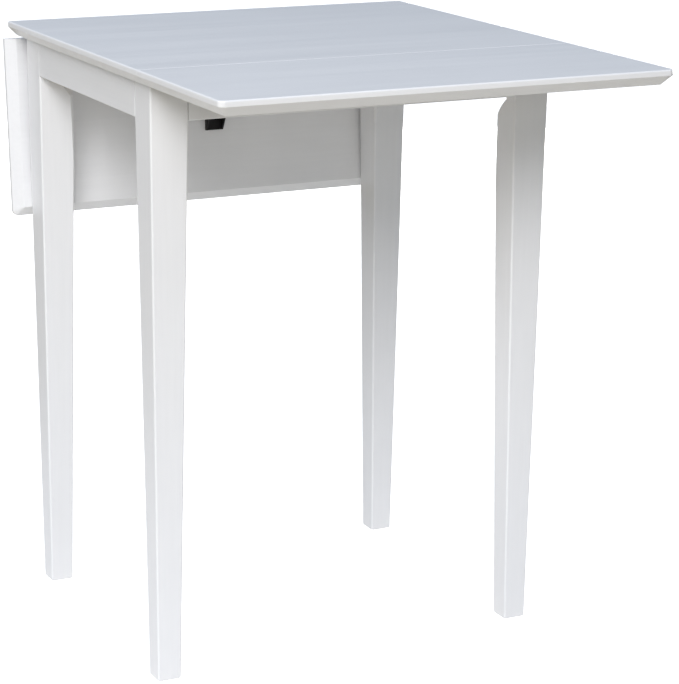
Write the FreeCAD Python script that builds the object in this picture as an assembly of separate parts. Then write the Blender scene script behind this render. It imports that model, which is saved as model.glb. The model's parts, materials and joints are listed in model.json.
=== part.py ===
"""Drop leaf table: a fixed centre top on a bolted base, and two hinged leaves with a steel support each.

Millimetres, +Z up, +X to the right along the hinge lines, the front leaf towards -Y.
Everything is drawn about the centre of the centre top and then moved so that the origin is at the floor,
at the middle of the table as it stands: front leaf up, rear leaf hanging.
"""
import FreeCAD, Part
import math
import os

Vector = FreeCAD.Vector

# Top
table_height = 760.0
top_width = 574.0
centre_depth = 447.0
leaf_depth = 233.0
leaf_gap = 0.8
top_thickness = 19.0
edge_bevel = 12.0
edge_round = 2.2
hinge_edge_round = 0.6
corner_round = 8.0

# Base
base_width = 533.0
base_depth = 424.0
leg_size = 48.0
leg_inner_taper = 11.6
leg_outer_taper = 6.2
leg_edge_round = 2.4
apron_height = 46.0
apron_thickness = 18.0
apron_edge_round = 1.5
notch_margin = 1.5

# The flat on each leg's inner corner, measured square to the flat, and how it fades out below the apron
flat_depth = 19.8
flat_end_drop = 6.0
shoulder_drop = 28.0
shoulder_depth = 4.9
fade_drop = 165.0
bend_shares = (0.45, 0.35)
fade_shares = (0.42, 0.50)

# Corner braces and leg bolts
brace_thickness = 20.0
brace_height = 40.0
brace_gap = 2.5
hanger_radius = 4.0
hanger_in_leg = 36.0
hanger_length = 70.0
hanger_washer_radius = 10.0
hanger_washer_thickness = 1.6
hanger_nut_flats = 13.0
hanger_nut_height = 6.5
dowel_radius = 4.0
dowel_length = 30.0
dowel_inset = 10.0

# Screws through the braces
brace_screw_radius = 2.0
brace_screw_length = 21.0
brace_screw_bite = 8.5
brace_screw_drop = 12.0
brace_screw_rise = 10.0
top_screw_radius = 2.0
top_screw_length = 51.0
top_screw_offset = 16.0
counterbore_radius = 4.2

# Angle clips
clip_length = 30.0
clip_leg = 18.0
clip_metal = 1.5
clip_screw_radius = 1.7
clip_screw_length = 13.0
clip_screw_spread = 8.0

# Hinges
pin_drop = 4.5
pin_radius = 1.5
pin_button_radius = 2.6
pin_button_height = 0.8
knuckle_radius = 4.0
knuckle_count = 5
knuckle_gap = 0.2
hinge_length = 64.0
hinge_plate_width = 11.5
hinge_plate_thickness = 1.6
hinge_spacing = 350.0
hinge_screw_radius = 1.5
hinge_screw_head = 2.9
hinge_screw_length = 13.0
hinge_screw_step = 24.0

# Supports
support_metal = 2.0
web_margin = 0.8
support_reach = 138.0
fixed_arm_reach = 130.0
leaf_arm_width = 25.0
fixed_arm_width = 20.0
ear_radius = 8.0
ear_pocket_half = 21.0
arm_shallow = 10.5
arm_deep = 16.0
arm_step_start = 46.0
arm_step_end = 58.0
arm_tip_depth = 3.5
arm_tip_run = 20.0
pivot_radius = 2.5
pivot_head_radius = 4.6
pivot_head_height = 2.8
pivot_head_round = 1.8
pivot_thread_out = 6.2
pivot_nut_flats = 8.0
pivot_nut_height = 5.0
outer_washer = 0.8
outer_washer_radius = 5.5
friction_washer_radius = 6.5
arm_screw_radius = 2.0
arm_screw_length = 15.0
leaf_arm_screw_distances = (28.0, 74.0, 120.0)
fixed_arm_screw_distances = (-45.0, -82.0, -118.0)
pan_head_radius = 3.8
pan_head_height = 2.2

# Fits and clearances
running_clearance = 0.05
pilot_clearance = 0.05
relief_clearance = 0.6

# How far past plumb a leaf hangs before it meets the legs, in degrees
leaf_lean = 4.58

# Worked out from the sizes above
underside = table_height - top_thickness
apron_bottom = underside - apron_height
half_centre = centre_depth / 2
pin_y = half_centre + leaf_gap / 2
pin_z = underside - pin_drop
fold_angle = 90.0 + leaf_lean
leaf_arm_inner = leaf_arm_width / 2 - support_metal
fixed_arm_outer = fixed_arm_width / 2
brace_near = 2 * leg_size - flat_depth * math.sqrt(2) + brace_gap * math.sqrt(2)
brace_far = brace_near + brace_thickness * math.sqrt(2)
brace_middle_z = underside - brace_height / 2
web_start = ear_radius + relief_clearance + web_margin

X_AXIS = Vector(1, 0, 0)
Y_AXIS = Vector(0, 1, 0)
Z_AXIS = Vector(0, 0, 1)
INWARD = Vector(1, 1, 0).normalize()


# ---------------------------------------------------------------- helpers

def box(x0, x1, y0, y1, z0, z1):
    """A box between two corners."""
    return Part.makeBox(x1 - x0, y1 - y0, z1 - z0, Vector(x0, y0, z0))


def rod(radius, length, start, direction):
    """A round bar from start along direction."""
    return Part.makeCylinder(radius, length, start, direction)


def prism(points, push):
    """A flat outline through the points, pushed along a vector."""
    outline = Part.makePolygon(points + [points[0]])
    return Part.Face(outline).extrude(push)


def joined(shapes):
    """Shapes fused into one clean solid."""
    solid = shapes[0].fuse(shapes[1:])
    return solid.removeSplitter()


def cut_all(solid, tools):
    """A solid with every tool taken out of it."""
    return solid.cut(Part.makeCompound(tools)) if tools else solid


def edges_where(shape, test):
    """The edges whose two ends both pass the test."""
    return [edge for edge in shape.Edges if all(test(vertex.Point) for vertex in edge.Vertexes)]


def mirrored_y(shape):
    """The same piece on the other side of the plane y = 0."""
    return shape.mirror(Vector(0, 0, 0), Y_AXIS)


def mirrored_x(shape):
    """The same piece on the other side of the plane x = 0."""
    return shape.mirror(Vector(0, 0, 0), X_AXIS)


def folded_down(shape):
    """A rear leaf piece swung from level to hanging."""
    turned = shape.copy()
    turned.rotate(Vector(0, pin_y, pin_z), X_AXIS, -fold_angle)
    return turned


# ---------------------------------------------------------------- screws

def countersunk_screw(seat, direction, radius, head_radius, length):
    """A wood screw whose flat head is level with seat, driven along direction."""
    cone = Part.makeCone(head_radius, radius, head_radius - radius, seat, direction)
    shank_length = length - 2 * radius
    shank = rod(radius, shank_length, seat, direction)
    tip_start = seat + direction * shank_length
    tip = Part.makeCone(radius, radius * 0.1, 2 * radius, tip_start, direction)
    return joined([cone, shank, tip])


def pan_screw(seat, direction, radius, length):
    """A wood screw whose round head stands on seat, driven along direction."""
    head = rod(pan_head_radius * radius / 2, pan_head_height, seat - direction * pan_head_height, direction)
    shank_length = length - 2 * radius
    shank = rod(radius, shank_length, seat, direction)
    tip_start = seat + direction * shank_length
    tip = Part.makeCone(radius, radius * 0.1, 2 * radius, tip_start, direction)
    return joined([head, shank, tip])


def pilot(seat, direction, radius, length):
    """The hole that a screw fills."""
    return rod(radius + pilot_clearance, length + pilot_clearance, seat, direction)


def sheet_holes(places, radius):
    """Screw holes through a plate or a web of sheet metal."""
    return [pilot(seat - direction * support_metal, direction, radius, 3 * support_metal)
            for seat, direction in places]


# ---------------------------------------------------------------- the three boards of the top

def board(y0, y1, far_edge_is_outer):
    """A board of the top, bevelled below at both ends and, on a leaf, along its far edge too."""
    half = top_width / 2

    def at_far(edge):
        return all(abs(vertex.Y - y1) < 0.01 for vertex in edge.Vertexes)

    def at_near(edge):
        return all(abs(vertex.Y - y0) < 0.01 for vertex in edge.Vertexes)

    def is_outer(edge):
        return not at_near(edge) and (far_edge_is_outer or not at_far(edge))

    slab = box(-half, half, y0, y1, underside, table_height)
    slab = slab.makeChamfer(edge_bevel, [edge for edge in level_edges(slab, underside) if is_outer(edge)])
    if far_edge_is_outer:
        slab = slab.common(rounded_outline(half, y0, y1))
    slab = slab.makeFillet(edge_round, [edge for edge in level_edges(slab, table_height) if is_outer(edge)])
    meeting = [edge for edge in level_edges(slab, table_height)
               if (at_near(edge) or at_far(edge)) and edge.Length > top_width / 2]
    return slab.makeFillet(hinge_edge_round, [edge for edge in meeting if not is_outer(edge)])


def level_edges(shape, height):
    """The edges that lie at a height."""
    return edges_where(shape, lambda point: abs(point.z - height) < 0.01)


def rounded_outline(half, y0, y1):
    """A tall block with the leaf's plan, its two far corners rounded."""
    block = box(-half, half, y0, y1, underside - 1, table_height + 1)
    corners = edges_where(block, lambda point: abs(point.y - y1) < 0.01)
    return block.makeFillet(corner_round, [edge for edge in corners if upright(edge)])


def upright(edge):
    """Whether an edge climbs, as a leg's or a block's corner does."""
    return abs(edge.Vertexes[0].Z - edge.Vertexes[-1].Z) > 1


def ear_pocket(side):
    """The shallow relief over a support's pivot, on both sides of the hinge line."""
    reach = ear_radius + relief_clearance
    middle = side * pin_y
    return box(-ear_pocket_half, ear_pocket_half, middle - reach, middle + reach,
               underside - 1, pin_z + reach)


# ---------------------------------------------------------------- legs

def leg_at_origin():
    """A leg with its outer corner at the origin, standing towards +X +Y."""
    sections = [
        (0.0, leg_outer_taper, leg_size - leg_inner_taper),
        (apron_bottom, 0.0, leg_size),
        (underside, 0.0, leg_size),
    ]
    wires = []
    for height, low, high in sections:
        corners = [Vector(low, low, height), Vector(high, low, height),
                   Vector(high, high, height), Vector(low, high, height)]
        wires.append(Part.makePolygon(corners + [corners[0]]))
    lower = Part.makeLoft(wires[:2], True, True)
    upper = Part.makeLoft(wires[1:], True, True)
    leg = joined([lower, upper])
    leg = leg.makeFillet(leg_edge_round, [edge for edge in leg.Edges if upright(edge)])
    return leg.cut(corner_flat())


def corner_flat():
    """What is cut off a leg's inner corner: a flat behind the apron, fading out in two curves below."""
    corner = Vector(leg_size, leg_size, 0)

    def at(depth, height):
        return corner - INWARD * depth + Z_AXIS * height

    flat_end = apron_bottom - flat_end_drop
    shoulder = apron_bottom - shoulder_drop
    fade_end = apron_bottom - fade_drop
    corner_recess = leg_inner_taper * math.sqrt(2) * fade_drop / apron_bottom
    top_in = at(flat_depth, underside + 1)
    flat_low = at(flat_depth, flat_end)
    bend = at(flat_depth * bend_shares[0] + shoulder_depth * bend_shares[1], (flat_end + shoulder) / 2)
    shoulder_point = at(shoulder_depth, shoulder)
    fade_middle = at(shoulder_depth * fade_shares[0] + corner_recess * fade_shares[1],
                     shoulder * 0.6 + fade_end * 0.4)
    fade_point = at(corner_recess, fade_end)
    out_low = at(-20, fade_end)
    out_top = at(-20, underside + 1)
    edges = [
        Part.makeLine(top_in, flat_low),
        Part.Arc(flat_low, bend, shoulder_point).toShape(),
        Part.Arc(shoulder_point, fade_middle, fade_point).toShape(),
        Part.makeLine(fade_point, out_low),
        Part.makeLine(out_low, out_top),
        Part.makeLine(out_top, top_in),
    ]
    across = Vector(1, -1, 0).normalize()
    face = Part.Face(Part.Wire(edges))
    face.translate(across * -40)
    return face.extrude(across * 80)


def hanger_start():
    """The point where a leg's bolt leaves the middle of its flat, for the leg at the origin."""
    middle = leg_size - flat_depth / math.sqrt(2)
    return Vector(middle, middle, brace_middle_z)


def hanger_hole():
    return rod(hanger_radius + pilot_clearance, hanger_in_leg + 0.2, hanger_start() + INWARD * 0.1, -INWARD)


def dowel_places():
    """Centre, height and direction of the dowels at the leg at the origin: two into each apron."""
    middle = apron_thickness / 2
    places = []
    for height in (apron_bottom + dowel_inset, underside - dowel_inset):
        places.append((Vector(middle, leg_size - dowel_length / 2, height), Y_AXIS))
        places.append((Vector(leg_size - dowel_length / 2, middle, height), X_AXIS))
    return places


def dowels_at_origin():
    return [rod(dowel_radius, dowel_length, start, direction) for start, direction in dowel_places()]


def dowel_holes():
    return [rod(dowel_radius + pilot_clearance, dowel_length + 1, start - direction * 0.5, direction)
            for start, direction in dowel_places()]


# ---------------------------------------------------------------- corner braces and what goes through them

def brace_at_origin():
    """The wooden brace behind the leg at the origin, from apron to apron at 45 degrees."""
    inner = apron_thickness
    low = underside - brace_height
    points = [Vector(inner, brace_near - inner, low), Vector(inner, brace_far - inner, low),
              Vector(brace_far - inner, inner, low), Vector(brace_near - inner, inner, low)]
    block = prism(points, Z_AXIS * brace_height)
    tools = [rod(hanger_radius + 0.5, 60, hanger_start() + INWARD * 1, INWARD)]
    for seat, direction in brace_screw_places():
        tools.append(pilot(seat, direction, brace_screw_radius, brace_screw_length))
        tools.append(rod(counterbore_radius, 30, seat, -direction))
    seat, direction = top_screw_place()
    tools.append(pilot(seat, direction, top_screw_radius, top_screw_length))
    return cut_all(block, tools)


def brace_screw_places():
    """Seats of the screws that hold a brace to its two aprons, two heights each."""
    middle = (brace_near + brace_far) / 2 - apron_thickness
    seat_depth = apron_thickness + brace_screw_bite
    places = []
    for height in (brace_middle_z - brace_screw_drop, brace_middle_z + brace_screw_rise):
        places.append((Vector(seat_depth, middle, height), -X_AXIS))
        places.append((Vector(middle, seat_depth, height), -Y_AXIS))
    return places


def brace_screws_at_origin():
    return [pan_screw(seat, direction, brace_screw_radius, brace_screw_length)
            for seat, direction in brace_screw_places()]


def top_screw_place():
    """Seat of the long screw that goes up through a brace into the centre top."""
    middle = (brace_near + brace_far) / 4
    offset = top_screw_offset / math.sqrt(2)
    return Vector(middle + offset, middle - offset, underside - brace_height), Z_AXIS


def top_screw_at_origin():
    seat, direction = top_screw_place()
    return pan_screw(seat, direction, top_screw_radius, top_screw_length)


def hanger_bolt_at_origin():
    start = hanger_start() - INWARD * hanger_in_leg
    return rod(hanger_radius, hanger_length, start, INWARD)


def hanger_washer_at_origin():
    start = hanger_start() + INWARD * (brace_gap + brace_thickness)
    disc = rod(hanger_washer_radius, hanger_washer_thickness, start, INWARD)
    return disc.cut(rod(hanger_radius + 0.3, 5, start - INWARD, INWARD))


def hex_nut(centre, direction, across_flats, height, bore):
    """A six-sided nut with its lower face at centre."""
    radius = across_flats / math.sqrt(3)
    points = []
    for corner in range(6):
        angle = math.radians(60 * corner)
        points.append(Vector(radius * math.cos(angle), radius * math.sin(angle), 0))
    stock = rod(radius, height, Vector(0, 0, 0), Z_AXIS)
    stock = stock.makeChamfer(radius * 0.1, stock.Edges[:1] + stock.Edges[-1:])
    nut = prism(points, Z_AXIS * height).common(stock)
    nut = nut.cut(rod(bore, height + 2, Vector(0, 0, -1), Z_AXIS))
    turn = FreeCAD.Rotation(Z_AXIS, direction)
    nut.Placement = FreeCAD.Placement(centre, turn)
    return nut


def hanger_nut_at_origin():
    start = hanger_start() + INWARD * (brace_gap + brace_thickness + hanger_washer_thickness)
    return hex_nut(start, INWARD, hanger_nut_flats, hanger_nut_height, hanger_radius + pilot_clearance)


def to_corner(shape, right, rear):
    """Move a piece from the leg at the origin to one of the four corners."""
    placed = shape.copy()
    placed.translate(Vector(-base_width / 2, -base_depth / 2, 0))
    if right:
        placed = mirrored_x(placed)
    if rear:
        placed = mirrored_y(placed)
    return placed


CORNERS = {
    "front_left": (False, False),
    "front_right": (True, False),
    "rear_left": (False, True),
    "rear_right": (True, True),
}


# ---------------------------------------------------------------- aprons

def eased_apron(x0, x1, y0, y1, along_x):
    """An apron board with its two lower long edges softened."""
    plain = box(x0, x1, y0, y1, apron_bottom, underside)

    def is_long_and_low(edge):
        ends = edge.Vertexes
        low = all(abs(vertex.Z - apron_bottom) < 0.01 for vertex in ends)
        run = abs(ends[0].X - ends[1].X) if along_x else abs(ends[0].Y - ends[1].Y)
        return low and run > 1

    return plain.makeFillet(apron_edge_round, [edge for edge in plain.Edges if is_long_and_low(edge)])


def long_apron():
    """The rear apron: between the rear legs, notched at the middle for the support's fixed arm."""
    half = base_width / 2 - leg_size
    outer = base_depth / 2
    apron = eased_apron(-half, half, outer - apron_thickness, outer, True)
    notch_half = fixed_arm_outer + notch_margin
    notch_low = underside - arm_shallow - notch_margin
    notch = box(-notch_half, notch_half, outer - apron_thickness - 1, outer + 1, notch_low, underside + 1)
    return apron.cut(notch)


def side_apron():
    """The left apron: between the two left legs."""
    half = base_depth / 2 - leg_size
    outer = -base_width / 2
    return eased_apron(outer, outer + apron_thickness, -half, half, False)


# ---------------------------------------------------------------- angle clips

def left_clip():
    """A steel angle between the left apron and the centre top."""
    inner = -base_width / 2 + apron_thickness
    half = clip_length / 2
    upright = box(inner, inner + clip_metal, -half, half, underside - clip_leg, underside)
    level = box(inner, inner + clip_leg, -half, half, underside - clip_metal, underside)
    angle = joined([upright, level])
    return cut_all(angle, sheet_holes(clip_screw_places(), clip_screw_radius))


def clip_screw_places():
    inner = -base_width / 2 + apron_thickness
    places = []
    for side in (-clip_screw_spread, clip_screw_spread):
        places.append((Vector(inner + clip_metal, side, underside - clip_leg * 0.6), -X_AXIS))
        places.append((Vector(inner + clip_leg * 0.6, side, underside - clip_metal), Z_AXIS))
    return places


def left_clip_screws():
    return [pan_screw(seat, direction, clip_screw_radius, clip_screw_length)
            for seat, direction in clip_screw_places()]


# ---------------------------------------------------------------- hinges, drawn at the rear, leaf level

def hinge_rod(radius, x0, x1):
    """A round bar on the rear hinge line."""
    return rod(radius, x1 - x0, Vector(x0, pin_y, pin_z), X_AXIS)


def knuckle_spans(own_first):
    """Start and end of every second knuckle along a hinge, from the middle of the hinge."""
    step = hinge_length / knuckle_count
    first = 0 if own_first else 1
    spans = []
    for index in range(first, knuckle_count, 2):
        start = -hinge_length / 2 + index * step + knuckle_gap / 2
        spans.append((start, start + step - knuckle_gap))
    return spans


def hinge_screw_places(middle_x, side):
    """Seats of a plate's three screws, heads down, on the fixed side (-1) or the leaf side (+1)."""
    row_y = pin_y + side * (hinge_plate_width + knuckle_radius + relief_clearance) / 2
    seat_z = underside - hinge_plate_thickness
    return [(Vector(middle_x + step, row_y, seat_z), Z_AXIS)
            for step in (-hinge_screw_step, 0, hinge_screw_step)]


def hinge_screws(middle_x, side):
    return [countersunk_screw(seat, direction, hinge_screw_radius, hinge_screw_head, hinge_screw_length)
            for seat, direction in hinge_screw_places(middle_x, side)]


def hinge_pilots(middle_x, side):
    return [pilot(seat, direction, hinge_screw_radius, hinge_screw_length)
            for seat, direction in hinge_screw_places(middle_x, side)]


def hinge_plate(middle_x, side):
    """One plate of a hinge with its knuckles: side -1 is screwed to the centre top, +1 to the leaf."""
    low = underside - hinge_plate_thickness
    far = hinge_plate_width
    near = knuckle_radius + relief_clearance
    spread = sorted((pin_y + side * far, pin_y + side * near))
    strip = box(-hinge_length / 2, hinge_length / 2, spread[0], spread[1], low, underside)
    solids = [strip]
    for start, end in knuckle_spans(side < 0):
        tab = sorted((pin_y + side * near, pin_y + side * relief_clearance))
        solids.append(box(start, end, tab[0], tab[1], low, underside))
        solids.append(hinge_rod(knuckle_radius, start, end))
    plate = joined(solids)
    plate = plate.cut(hinge_rod(pin_radius + running_clearance, -hinge_length, hinge_length))
    sinks = []
    for seat, direction in hinge_screw_places(0, side):
        depth = hinge_screw_head - hinge_screw_radius
        sinks.append(Part.makeCone(hinge_screw_head + pilot_clearance, hinge_screw_radius + pilot_clearance,
                                   depth, seat, direction))
        sinks.append(pilot(seat, direction, hinge_screw_radius, 4))
    plate = cut_all(plate, sinks)
    plate.translate(X_AXIS * middle_x)
    return plate


def hinge_pin(middle_x):
    """The pin with a flat button at each end."""
    half = hinge_length / 2 + knuckle_gap / 2
    end = half + pin_button_height
    shaft = hinge_rod(pin_radius, middle_x - end, middle_x + end)
    buttons = [hinge_rod(pin_button_radius, middle_x - end, middle_x - half),
               hinge_rod(pin_button_radius, middle_x + half, middle_x + end)]
    return joined([shaft] + buttons)


HINGES = {"left": -hinge_spacing / 2, "right": hinge_spacing / 2}


# ---------------------------------------------------------------- supports, drawn at the rear, leaf level

def flange(outline, inner, outer):
    """A flange of an arm: an outline of (y, z) about the pivot, between two distances from the middle."""
    points = [Vector(inner, pin_y + y, pin_z + z) for y, z in outline]
    return prism(points, X_AXIS * (outer - inner))


def arm(web, outline, outer_half):
    """A channel arm: a web against the wood and two flanges, each with an ear round the pivot."""
    inner_half = outer_half - support_metal
    solids = [web]
    for low in (-outer_half, inner_half):
        solids.append(flange(outline, low, low + support_metal))
        solids.append(hinge_rod(ear_radius, low, low + support_metal))
    channel = joined(solids)
    return channel.cut(hinge_rod(pivot_radius + running_clearance, -outer_half - 1, outer_half + 1))


def leaf_arm():
    """The arm under the leaf: shallow near the pivot, deep further out, and cut back towards its tip."""
    half = leaf_arm_width / 2
    web = box(-half, half, pin_y + web_start, pin_y + support_reach, underside - support_metal, underside)
    shallow = pin_drop - arm_shallow
    deep = pin_drop - arm_deep
    outline = [(0, shallow), (arm_step_start, shallow), (arm_step_end, deep),
               (support_reach - arm_tip_run, deep), (support_reach, pin_drop - arm_tip_depth),
               (support_reach, pin_drop), (ear_radius, pin_drop), (0, -shallow)]
    solid = arm(web, outline, half)
    return cut_all(solid, sheet_holes(leaf_arm_screw_places(), arm_screw_radius))


def fixed_arm():
    """The arm under the centre top, nested between the leaf arm's ears at the pivot."""
    half = fixed_arm_outer
    web = box(-half, half, pin_y - fixed_arm_reach, pin_y - web_start, underside - support_metal, underside)
    shallow = pin_drop - arm_shallow
    outline = [(0, shallow), (-(fixed_arm_reach - arm_shallow), shallow), (-fixed_arm_reach, pin_drop),
               (-ear_radius, pin_drop), (0, -shallow)]
    solid = arm(web, outline, half)
    return cut_all(solid, sheet_holes(fixed_arm_screw_places(), arm_screw_radius))


def arm_screw_places(distances):
    seat_z = underside - support_metal
    return [(Vector(0, pin_y + distance, seat_z), Z_AXIS) for distance in distances]


def leaf_arm_screw_places():
    return arm_screw_places(leaf_arm_screw_distances)


def fixed_arm_screw_places():
    return arm_screw_places(fixed_arm_screw_distances)


def arm_screws(places):
    return [pan_screw(seat, direction, arm_screw_radius, arm_screw_length) for seat, direction in places]


def arm_pilots(places):
    return [pilot(seat, direction, arm_screw_radius, arm_screw_length) for seat, direction in places]


def pivot_bolt():
    """A button head bolt through the four ears."""
    outer = leaf_arm_width / 2 + outer_washer
    end = -outer - pivot_head_height
    shank = hinge_rod(pivot_radius, -outer, outer + pivot_thread_out)
    head = hinge_rod(pivot_head_radius, end, -outer)
    rim = [edge for edge in head.Edges if edge.BoundBox.XMax < end + 0.01]
    head = head.makeFillet(pivot_head_round, rim)
    return joined([shank, head])


def pivot_washers():
    """Friction washers between the ears and plain washers outside them."""
    outer = leaf_arm_width / 2
    friction = leaf_arm_inner - fixed_arm_outer
    washers = []
    for start, thickness, radius in (
            (-outer - outer_washer, outer_washer, outer_washer_radius),
            (-leaf_arm_inner, friction, friction_washer_radius),
            (fixed_arm_outer, friction, friction_washer_radius),
            (outer, outer_washer, outer_washer_radius)):
        disc = hinge_rod(radius, start, start + thickness)
        washers.append(disc.cut(hinge_rod(pivot_radius + 0.1, start - 1, start + thickness + 1)))
    return washers


def pivot_nut():
    start = Vector(leaf_arm_width / 2 + outer_washer, pin_y, pin_z)
    return hex_nut(start, X_AXIS, pivot_nut_flats, pivot_nut_height, pivot_radius + pilot_clearance)


# ---------------------------------------------------------------- the whole table

def base_pieces():
    """Legs, aprons, braces and their fixings."""
    pieces = {}
    leg = cut_all(leg_at_origin(), [hanger_hole()] + dowel_holes())
    brace = brace_at_origin()
    for corner, (right, rear) in CORNERS.items():
        pieces["leg_" + corner] = to_corner(leg, right, rear)
        pieces["corner_brace_" + corner] = to_corner(brace, right, rear)
    holes = at_all_corners(dowel_holes() + brace_screw_pilots())
    rear_apron = long_apron()
    left_apron = cut_all(side_apron(), [pilot(seat, direction, clip_screw_radius, clip_screw_length)
                                        for seat, direction in clip_screw_places()])
    pieces["apron_rear"] = cut_all(rear_apron, holes)
    pieces["apron_front"] = cut_all(mirrored_y(rear_apron), holes)
    pieces["apron_left"] = cut_all(left_apron, holes)
    pieces["apron_right"] = cut_all(mirrored_x(left_apron), holes)
    groups = {
        "hanger_bolts": [hanger_bolt_at_origin()],
        "hanger_washers": [hanger_washer_at_origin()],
        "hanger_nuts": [hanger_nut_at_origin()],
        "brace_screws": brace_screws_at_origin(),
        "top_screws": [top_screw_at_origin()],
        "apron_dowels": dowels_at_origin(),
    }
    for name, shapes in groups.items():
        pieces[name] = Part.makeCompound(at_all_corners(shapes))
    clip = left_clip()
    pieces["top_clips"] = Part.makeCompound([clip, mirrored_x(clip)])
    screws = left_clip_screws()
    pieces["clip_screws"] = Part.makeCompound(screws + [mirrored_x(screw) for screw in screws])
    return pieces


def brace_screw_pilots():
    return [pilot(seat, direction, brace_screw_radius, brace_screw_length)
            for seat, direction in brace_screw_places()]


def at_all_corners(shapes):
    """Copies of the shapes at each of the four corners."""
    return [to_corner(shape, right, rear) for right, rear in CORNERS.values() for shape in shapes]


def centre_top():
    """The fixed board, with pilot holes and the reliefs over the two support pivots."""
    seat, direction = top_screw_place()
    tools = at_all_corners([pilot(seat, direction, top_screw_radius, top_screw_length)])
    for seat, direction in clip_screw_places():
        if direction.z > 0.5:
            clip_pilot = pilot(seat, direction, clip_screw_radius, clip_screw_length)
            tools += [clip_pilot, mirrored_x(clip_pilot)]
    rear_tools = arm_pilots(fixed_arm_screw_places())
    for middle in HINGES.values():
        rear_tools += hinge_pilots(middle, -1)
    tools += rear_tools + [mirrored_y(tool) for tool in rear_tools]
    tools += [ear_pocket(1), ear_pocket(-1)]
    return cut_all(board(-half_centre, half_centre, False), tools)


def rear_leaf_level():
    """The rear leaf's pieces with the leaf level."""
    leaf = board(half_centre + leaf_gap, half_centre + leaf_gap + leaf_depth, True)
    tools = [ear_pocket(1)] + arm_pilots(leaf_arm_screw_places())
    screws = []
    pieces = {}
    for name, middle in HINGES.items():
        tools += hinge_pilots(middle, 1)
        screws += hinge_screws(middle, 1)
        pieces["hinge_{side}_" + name + "_leaf_plate"] = hinge_plate(middle, 1)
    pieces["{side}_leaf"] = cut_all(leaf, tools)
    pieces["{side}_leaf_hinge_screws"] = Part.makeCompound(screws)
    pieces["{side}_support_leaf_arm"] = leaf_arm()
    pieces["{side}_leaf_arm_screws"] = Part.makeCompound(arm_screws(leaf_arm_screw_places()))
    return pieces


def rear_fixed_hardware():
    """The rear side's hinge and support pieces that stay with the base."""
    pieces = {}
    for name, middle in HINGES.items():
        pieces["hinge_{side}_" + name + "_fixed_plate"] = hinge_plate(middle, -1)
        pieces["hinge_{side}_" + name + "_pin"] = hinge_pin(middle)
    pieces["{side}_support_fixed_arm"] = fixed_arm()
    pieces["{side}_support_pivot_bolt"] = pivot_bolt()
    pieces["{side}_support_washers"] = Part.makeCompound(pivot_washers())
    pieces["{side}_support_nut"] = pivot_nut()
    return pieces


def base_hardware_screws():
    """Screws of the fixed hinge plates and fixed arms on both sides."""
    hinge = []
    for middle in HINGES.values():
        hinge += hinge_screws(middle, -1)
    arms = arm_screws(fixed_arm_screw_places())
    return {
        "base_hinge_screws": Part.makeCompound(hinge + [mirrored_y(screw) for screw in hinge]),
        "fixed_arm_screws": Part.makeCompound(arms + [mirrored_y(screw) for screw in arms]),
    }


def table():
    """Every piece by name, front leaf level and rear leaf hanging."""
    pieces = {"centre_top": centre_top()}
    pieces.update(base_pieces())
    pieces.update(base_hardware_screws())
    for name, shape in rear_fixed_hardware().items():
        pieces[name.format(side="rear")] = shape
        pieces[name.format(side="front")] = mirrored_y(shape)
    for name, shape in rear_leaf_level().items():
        pieces[name.format(side="rear")] = folded_down(shape)
        pieces[name.format(side="front")] = mirrored_y(shape)
    return pieces


def row_shift():
    """The move that brings the middle of the standing table's depth to y = 0."""
    front = -(half_centre + leaf_gap + leaf_depth)
    hanging = math.radians(leaf_lean)
    face_drop = table_height - pin_z
    edge_start = leaf_gap / 2 + hinge_edge_round
    rear = pin_y + face_drop * math.cos(hanging) - edge_start * math.sin(hanging)
    return Vector(0, -(front + rear) / 2, 0)


def main():
    os.makedirs("parts", exist_ok=True)
    pieces = table()
    shift = row_shift()
    for name, shape in pieces.items():
        shape.translate(shift)
        shape.exportStep("parts/" + name + ".step")
        volume = round(shape.Volume / 1000, 2)
        print(name, "solids", len(shape.Solids), "valid", shape.isValid(), "volume cm3", volume)
    print("pieces", len(pieces), "depth shift", round(shift.y, 3))


main()
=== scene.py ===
# %% [markdown]
# # A drop leaf table, painted white
# The table is a fixed centre board on a bolted base, with a leaf hinged to each side. The frame gives every
# piece at its real size and place. This lesson gives the pieces their finish, and makes again those that
# deserve a finer shape: the legs, the boards of the top, the screws and the threaded bolts. Lengths are in
# metres, and the front leaf points towards -Y.

# %% Load the frame
import json
import math

import bpy
import bmesh
import numpy as np
from mathutils import Matrix, Vector

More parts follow.
